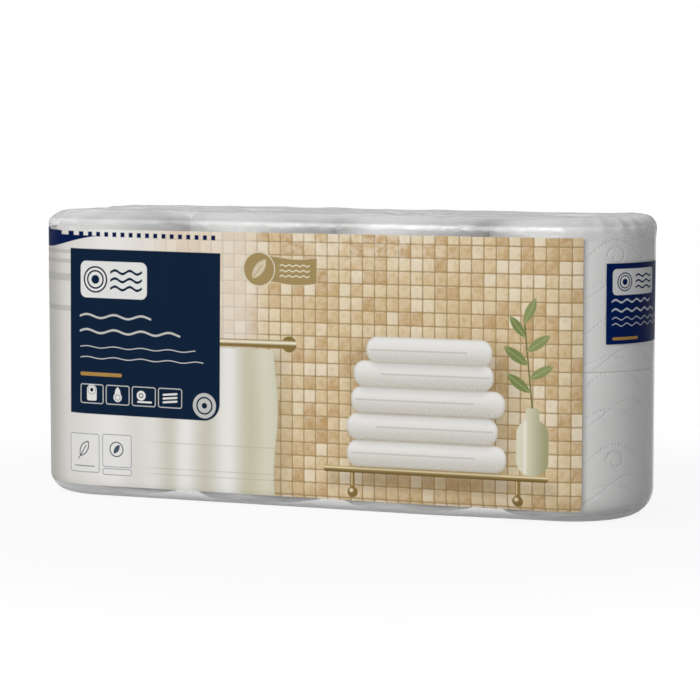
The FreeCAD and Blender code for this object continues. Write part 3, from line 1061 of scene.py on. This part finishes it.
@dataclass
class FilmWrap:
    """The wrap: one closed skin that is gathered over the ends and folded on top and underneath."""

    end_axis: float = 1.5 * ROLL_PITCH
    radius: float = 55.5
    top: float = 199.5
    top_rims: Point = (12.4, 9.2)
    base_rims: Point = (13, 19)
    print_left: float = -262
    print_right: float = 188.9
    print_base: float = 8.4
    print_top: float = 187
    label: tuple[float, float, float, float] = (204.5, 274, 118, 170.5)
    step: float = 2.3
    lap: float = 9
    flap_reach: float = 127.35
    flap_depth: float = 45.5
    flap_lap: float = 11
    pleat_angle: float = math.radians(14.7)
    us: list[float] = field(default_factory=list)
    rows: Grid = field(default_factory=lambda: np.zeros(0))

    def build(self) -> bpy.types.Object:
        """Makes the wrap.

        Returns:
            The piece with its three materials.
        """
        self.us = self._columns()
        points, carried = self._grid()
        piece = sheet_mesh("film_skin", points, carried, "wrap")
        for finish in (ClearFilm(), PrintedFilm(), EndLabel()):
            piece.data.materials.append(finish.material())
        piece.data.polygons.foreach_set("material_index", self._zones().ravel().tolist())
        weld(piece)
        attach(piece, "root")
        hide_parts("film_wrap")
        return piece

    def _columns(self) -> list[float]:
        """Distances along the outline, from the middle of the back round the front and back."""
        arc = self.end_axis + math.pi * self.radius
        whole = arc + self.end_axis
        left = stations([-whole, -arc, self.print_left, -self.end_axis, 0], self.step)
        breaks = [0, self.end_axis, self.print_right, self.label[0], self.label[1], arc, whole]
        return left + stations(breaks, self.step)[1:]

    def _rims(self, x: Grid) -> tuple[Grid, Grid]:
        """Radii of the rounded top and base edges, which differ from end to end."""
        left, right = self.top_rims
        top = left + (right - left) * smooth(x, -self.end_axis, -85)
        left, right = self.base_rims
        return top, left + (right - left) * smooth(x, 70, self.end_axis)

    def _section(self, x: Grid) -> tuple[Grid, Grid, Grid]:
        """The section from the middle of the base to the middle of the top, for every column.

        Args:
            x: Where along the pack each column stands.

        Returns:
            Distances from the middle line, heights, and one upright coordinate for each row.
        """
        top, base = self._rims(x)
        level, side = 0 * x, self.radius + 0 * x
        label_base, label_top = self.label[2:]
        rows = [((self.radius - base) * s, level, 0.1 * s - 1) for s in stations([0, 1], 0.1)]
        low = np.arccos(1 - self.print_base / base)
        for share in stations([0, 1, 2], 0.2)[1:]:
            turn = low * min(share, 1) + (math.pi / 2 - low) * max(share - 1, 0)
            rho = self.radius - base * (1 - np.sin(turn))
            rows.append((rho, base * (1 - np.cos(turn)), self.print_base * share))
        shoulder = self.top - top
        for share in stations([0, 1], 0.034)[1:]:
            height = base + (label_base - base) * share
            rows.append((side, height, 20 + (label_base - 20) * share))
        for height in stations([label_base, label_top], 3.6)[1:]:
            rows.append((side, height + level, height))
        for share in stations([0, 1, 2], 0.34)[1:]:
            past = max(share - 1, 0)
            upright = label_top + (self.print_top - label_top) * min(share, 1)
            rows.append((side, upright + (shoulder - self.print_top) * past, upright + 2 * past))
        for turn in stations([0, math.pi / 2], 0.16)[1:]:
            rho = self.radius - top * (1 - math.cos(turn))
            rows.append((rho, shoulder + top * math.sin(turn), 190 + turn))
        for share in stations([1, 0], 0.037)[1:]:
            rows.append(((self.radius - top) * share, self.top + level, 195 - share))
        return tuple(np.array(part) for part in zip(*rows))

    def _grid(self) -> tuple[Grid, Grid]:
        """Places every point of the skin.

        Returns:
            The points, and what each carries: distance along, height and milkiness.
        """
        u = np.array(self.us)
        side = np.sign(u)
        past = np.clip(np.abs(u) - self.end_axis, 0, math.pi * self.radius)
        turn = past / self.radius
        back = np.clip(np.abs(u) - self.end_axis - math.pi * self.radius, 0, None)
        axis_x = side * (np.minimum(np.abs(u), self.end_axis) - back)
        normal = np.stack([side * np.sin(turn), -np.cos(turn)], axis=1)
        rho, z, self.rows = self._section(axis_x)
        x = axis_x + normal[:, 0] * rho
        y = normal[:, 1] * rho
        push, lift, milk = self._shape(Skin(x, y, z, rho, turn[None, :], u[None, :]))
        x = x + normal[:, 0] * push
        y = y + normal[:, 1] * push
        carried = np.stack([np.repeat(u[None, :], len(rho), 0), z, milk], 2)
        points = np.stack([x, y, z + lift], axis=2)[:, :-1]
        return points, carried

    def _shape(self, skin: Skin) -> tuple[Grid, Grid, Grid]:
        """Works out how the film lies.

        Args:
            skin: The points before they are shaped.

        Returns:
            How far each point stands out, how far it is lifted, and how many folds lie there.
        """
        x, y, z, rho = skin.x, skin.y, skin.z, skin.rho
        on_top = smooth(z, self.top - 5, self.top)
        near_top = smooth(z, self.top - 26, self.top - 4)
        near_base = 1 - smooth(z, 3, 24)
        lift = self._crumple(x, y, z) * on_top
        lift -= on_top * (self._bore_sag(x, y) + 0.45 * smooth(x, 20, 70))
        lift -= 2.4 * smooth(-x, 176, 216) * smooth(z, self.top - 9, self.top - 1)
        push = 0.16 * field_of(x, y, z, (34, 34, 48), 3.1)
        flat = skin.turn < 1e-6
        for line in (-ROLL_PITCH, 0, ROLL_PITCH):
            cusp = np.exp(-(((x - line) / 6.5) ** 2)) * flat * smooth(rho, 30, 52)
            push = push - cusp * (0.05 + 0.15 * near_top + 0.4 * near_base)
        pleats = self._gathers(skin)
        folds = self._folds(x, y) * on_top
        lift = lift + 0.55 * pleats
        lift += 0.22 * folds * on_top * smooth(rho, 0, 1)
        under = (1 - smooth(z, 0, 0.6)) * self._folds(x, -y)
        seam = np.abs(skin.u) > np.abs(skin.u).max() - self.lap
        strip = seam * smooth(z, 12, 14) * (1 - smooth(z, 189.5, 191))
        push = push + 0.75 * pleats + 0.4 * strip
        rim = smooth(z, self.top - 12, self.top - 1)
        foot = 1 - smooth(z, 2, 12)
        return push, lift, 2.3 * rim + folds + under + strip + 3.2 * foot

    def _crumple(self, x: Grid, y: Grid, z: Grid) -> Grid:
        """Height of the wrinkles that run along the top."""
        wide = field_of(x, y, z, (70, 26, 90), 7.7)
        fine = field_of(x + 0.6 * y, y, z, (38, 12, 90), 1.9)
        ridge = (1 - np.abs(wide) * 2.4).clip(0, 1) ** 2
        crest = (1 - np.abs(fine) * 2.8).clip(0, 1) ** 2
        return 0.15 + 0.75 * ridge + 0.3 * crest

    def _bore_sag(self, x: Grid, y: Grid) -> Grid:
        """How far the film sinks into the bores of the upper rolls."""
        reach = np.min([np.hypot(x - roll_axis(column), y) for column in ROLL_COLUMNS], axis=0)
        return 1.9 * (1 - smooth(reach, 9, 22))

    def _gathers(self, skin: Skin) -> Grid:
        """How strong the pleats that fan out over the rim of each end are at each point.

        Args:
            skin: The points before they are shaped.

        Returns:
            Nought between the pleats, and more on the right end than on the left.
        """
        turn = skin.turn
        fan = smooth(turn, 0.35, 0.6) * (1 - smooth(turn, 2.55, 2.8))
        wander = 0.5 * np.sin(turn * 5 + 1.3 * np.sign(skin.u)) + 0.25 * np.sin(turn * 11)
        phase = (turn + 0.05 * wander) / self.pleat_angle
        crest = (1 - 2 * np.abs(phase - np.floor(phase) - 0.5)) ** 3
        side = smooth(skin.z, self.top - 20, self.top - 5) * smooth(skin.rho, 28, 46)
        return crest * fan * np.where(skin.u > 0, 1.9, 0.8) * side

    def _folds(self, x: Grid, y: Grid) -> Grid:
        """How many folded flaps lie over a place of the top, seen from above."""
        folds = 0
        for way in (y, -y):
            ends = np.minimum(self.flap_lap - way, way + self.flap_depth)
            flap = np.minimum(self.flap_reach - np.abs(x) - way, ends)
            folds = folds + smooth(flap, -0.8, 0.8)
        return folds

    def _zones(self) -> Grid:
        """The material number of every face."""
        u = np.array(self.us)
        along = ((u[:-1] + u[1:]) / 2)[None, :]
        up = ((self.rows[:-1] + self.rows[1:]) / 2)[:, None]
        zones = np.full((len(self.rows) - 1, len(u) - 1), Zone.CLEAR.value)
        front = (self.print_left, self.print_right, self.print_base, self.print_top)
        for zone, (left, right, base, top) in ((Zone.PRINT, front), (Zone.LABEL, self.label)):
            zones[(along > left) & (along < right) & (up > base) & (up < top)] = zone.value
        return zones


@dataclass
class PaperRoll:
    """One roll of paper: a wound ring with soft pressed edges and a loose end."""

    layer: Layer
    column: int
    finish: bpy.types.Material
    radius: float = 54.95
    bore: float = 22.7
    bore_edge: float = 0.8
    top_round: float = 8.7
    base_round: float = 13.4
    edge_round: float = 1.2
    ply: float = 0.2
    print_radius: float = 54.8
    lower_shift: float = 34.4
    sides: int = 150

    def build(self) -> bpy.types.Object:
        """Makes the roll.

        Returns:
            The piece with its material.
        """
        name = f"{self.layer.name.lower()}_paper_{self.column}"
        angles = np.linspace(0, 2 * math.pi, self.sides, endpoint=False)
        section = np.array(self._section())
        rho = np.repeat(section[:, :1], self.sides, 1)
        z = np.repeat(section[:, 1:2], self.sides, 1) + self.layer.value
        weight = smooth(rho, self.bore + 4, self.radius)
        seed = self.column * 3.7 + self.layer.value
        x, y = rho * np.cos(angles), rho * np.sin(angles)
        swell = 0.10 * field_of(x, y, z, (30, 30, 40), seed)
        share = ((angles / (2 * math.pi) + 0.17 * self.column) % 1)[None, :]
        rho = rho + weight * (swell - self.ply * share - 0.1)
        x = roll_axis(self.column) + rho * np.cos(angles)
        points = np.stack([x, rho * np.sin(angles), z], axis=2)
        turns = np.append(angles, 2 * math.pi) * self.print_radius + self.column * 12
        around = np.repeat(turns[None, :], len(section), 0)
        shift = 0 if self.layer is Layer.UPPER else self.lower_shift
        up = np.repeat(section[:, 1:2] + shift, self.sides + 1, 1)
        reach = np.repeat(section[:, :1], self.sides + 1, 1)
        carried = np.stack([around, up, reach], axis=2)
        piece = sheet_mesh(name, points, carried, "wound", loop_rows=True)
        piece.data.materials.append(self.finish)
        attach(piece, "root")
        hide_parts(f"{self.layer.name.lower()}_roll_{self.column}")
        return piece

    def _section(self) -> list[Point]:
        """The ring's section as radius and height, from the foot of the bore outwards and round."""
        upper = self.layer is Layer.UPPER
        low = self.edge_round if upper else self.base_round
        high = self.top_round if upper else self.edge_round
        inner = self.bore + self.bore_edge
        quarter = stations([0, math.pi / 2], 0.24)[1:]
        outline = [(r, 0) for r in stations([inner, self.radius - low], 4)]
        for turn in quarter:
            outline.append((self.radius - low * (1 - math.sin(turn)), low * (1 - math.cos(turn))))
        outline += [(self.radius, z) for z in stations([low, ROLL_HEIGHT - high], 4)[1:]]
        for turn in quarter:
            inset = high * (1 - math.cos(turn))
            outline.append((self.radius - inset, ROLL_HEIGHT - high * (1 - math.sin(turn))))
        outline += [(r, ROLL_HEIGHT) for r in stations([self.radius - high, inner], 4)[1:]]
        bore = stations([ROLL_HEIGHT - self.bore_edge, self.bore_edge], 12)
        return outline + [(self.bore, z) for z in bore]


@dataclass
class RollCore:
    """The cardboard tube of one roll."""

    layer: Layer
    column: int
    finish: bpy.types.Material
    bore: float = 21.5
    wall: float = 1
    edge: float = 0.3
    sides: int = 72

    def build(self) -> bpy.types.Object:
        """Makes the tube.

        Returns:
            The piece with its material.
        """
        name = f"{self.layer.name.lower()}_tube_{self.column}"
        outer = self.bore + self.wall
        ends = [outer - self.edge, self.bore + 0.2]
        heights = stations([self.edge, ROLL_HEIGHT - self.edge], 8)
        section = [(outer, z) for z in heights] + [(r, ROLL_HEIGHT) for r in ends]
        section += [(self.bore, z) for z in reversed(heights)] + [(r, 0) for r in reversed(ends)]
        ring = np.array(section)
        angles = np.linspace(0, 2 * math.pi, self.sides + 1)
        rho = np.repeat(ring[:, :1], self.sides + 1, 1)
        z = np.repeat(ring[:, 1:2], self.sides + 1, 1)
        out_of_round = 1 + 0.004 * np.cos(2 * angles + self.column)
        x = roll_axis(self.column) + rho * out_of_round * np.cos(angles)
        points = np.stack([x, rho * np.sin(angles), z + self.layer.value], axis=2)[:, :-1]
        around = np.repeat((angles * self.bore)[None, :], len(ring), 0)
        carried = np.stack([around, z, rho], axis=2)
        piece = sheet_mesh(name, points, carried, "wound", loop_rows=True)
        piece.data.materials.append(self.finish)
        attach(piece, "root")
        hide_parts(f"{self.layer.name.lower()}_core_{self.column}")
        return piece


@dataclass
class Studio:
    """The pale floor, the white surround, the lamps, placed in metres, and the camera."""

    azimuth: float = 21.8
    elevation: float = 5.26
    target_height: float = 104.11
    shift_right: float = 5.48
    distance: float = 1818
    focal_length: float = 135.31
    floor_radius: float = 1500
    floor_sides: int = 96
    sky: float = 0.17
    gloss_share: float = 0.35
    aim: Place = (0, 0, 0.1)
    lamps: tuple[tuple[str, Place, float, float, bool], ...] = (
        ("key", (-0.35, -2.3, 1.15), 1.3, 35, True),
        ("top", (-0.3, -0.2, 2), 1.5, 19, False),
        ("back", (-1.1, 2.2, 1.2), 1.3, 11, False),
    )

    def build(self) -> None:
        """Makes everything that isn't part of the pack."""
        self._floor()
        self._world()
        self._lamps()
        self._camera()
        bpy.context.scene.view_settings.view_transform = "Standard"

    def _seen(self, graph: Graph) -> Signal:
        """A mask that is 1 for what the camera sees, and weaker for what shows in a gloss."""
        path = graph.node("LightPath")
        names = ("Is Camera Ray", "Is Glossy Ray", "Is Transmission Ray")
        camera, gloss, through = (Signal(graph, path.outputs[name]) for name in names)
        return camera.most(gloss * self.gloss_share).most(through)

    def _floor(self) -> None:
        """Makes a round pale floor that fades into the white surround."""
        turns = [2 * math.pi * i / self.floor_sides for i in range(self.floor_sides)]
        reach = self.floor_radius * MM
        rim = [(math.cos(turn) * reach, math.sin(turn) * reach, 0) for turn in turns]
        mesh = bpy.data.meshes.new("floor")
        mesh.from_pydata(rim, [], [list(range(self.floor_sides))])
        floor = linked("floor", mesh)
        made = bpy.data.materials.new("pale_floor")
        graph = Graph(made)
        spot = graph.signal("TexCoord", output="Object")
        away = graph.signal("VectorMath", {"operation": "LENGTH"}, {0: spot}, "Value")
        tone = graph.blend(graph.noise(30, 3) * 0.1, (0.62, 0.62, 0.62), (0.58, 0.58, 0.59))
        inputs = {"Base Color": tone, "Roughness": 0.9, "Specular IOR Level": 0}
        matt = graph.signal("BsdfPrincipled", None, inputs)
        glow = graph.signal("Emission", None, {"Color": (1, 1, 1, 1), "Strength": 1})
        share = self._seen(graph) * (away.ramp(0.28, 0.5) * 0.09 + 0.91)
        graph.close(graph.signal("MixShader", None, {0: share, 1: matt, 2: glow}))
        mesh.materials.append(made)

    def _world(self) -> None:
        """Makes a surround that looks white and lights the pack softly."""
        world = bpy.data.worlds.new("surround")
        bpy.context.scene.world = world
        graph = Graph(world)
        soft, white = (
            graph.signal("Background", None, {"Color": (1, 1, 1, 1), "Strength": strength})
            for strength in (self.sky, 1)
        )
        mixed = graph.signal("MixShader", None, {0: self._seen(graph), 1: soft, 2: white})
        graph.close(mixed, "World")

    def _lamps(self) -> None:
        """Hangs one large soft lamp in front of the pack and weaker ones over and behind it."""
        for name, place, size, power, shows_in_gloss in self.lamps:
            lamp = bpy.data.lights.new(name, "AREA")
            lamp.energy = power
            lamp.size = size
            hung = linked(name, lamp)
            hung.location = place
            aim = Vector(self.aim) - Vector(place)
            hung.rotation_mode = "QUATERNION"
            hung.rotation_quaternion = aim.to_track_quat("-Z", "Y")
            hung.visible_glossy = shows_in_gloss

    def _camera(self) -> None:
        """Sets the camera where the photograph was taken from."""
        a, e = math.radians(self.azimuth), math.radians(self.elevation)
        right = Vector((math.cos(a), math.sin(a), 0))
        back = Vector((math.sin(a) * math.cos(e), -math.cos(a) * math.cos(e), math.sin(e)))
        up = back.cross(right)
        target = Vector((0, 0, self.target_height)) + right * self.shift_right
        lens = bpy.data.cameras.new("camera")
        lens.sensor_width = 36
        lens.lens = self.focal_length
        camera = linked("camera", lens)
        camera.matrix_world = Matrix((right, up, back)).transposed().to_4x4()
        camera.location = (target + back * self.distance) * MM
        bpy.context.scene.camera = camera


def main() -> None:
    """Builds the pack and the studio, and says what was made."""
    logging.basicConfig(level=logging.INFO, format="%(name)s: %(message)s")
    tissue = EmbossedTissue().material()
    board = CoreBoard().material()
    makers: list[Callable[[], bpy.types.Object]] = [FilmWrap().build]
    for layer in Layer:
        for column in ROLL_COLUMNS:
            roll = PaperRoll(layer, column, tissue)
            if column == ROLL_COLUMNS[0]:
                roll.top_round = LEFT_TOP_ROUND
            if column == ROLL_COLUMNS[-1]:
                roll.base_round = RIGHT_BASE_ROUND
            makers += [roll.build, RollCore(layer, column, board).build]
    for make in makers:
        piece = make()
        log.info("%s: %d faces", piece.name, len(piece.data.polygons))
    Studio().build()


if __name__ == "__main__":
    main()
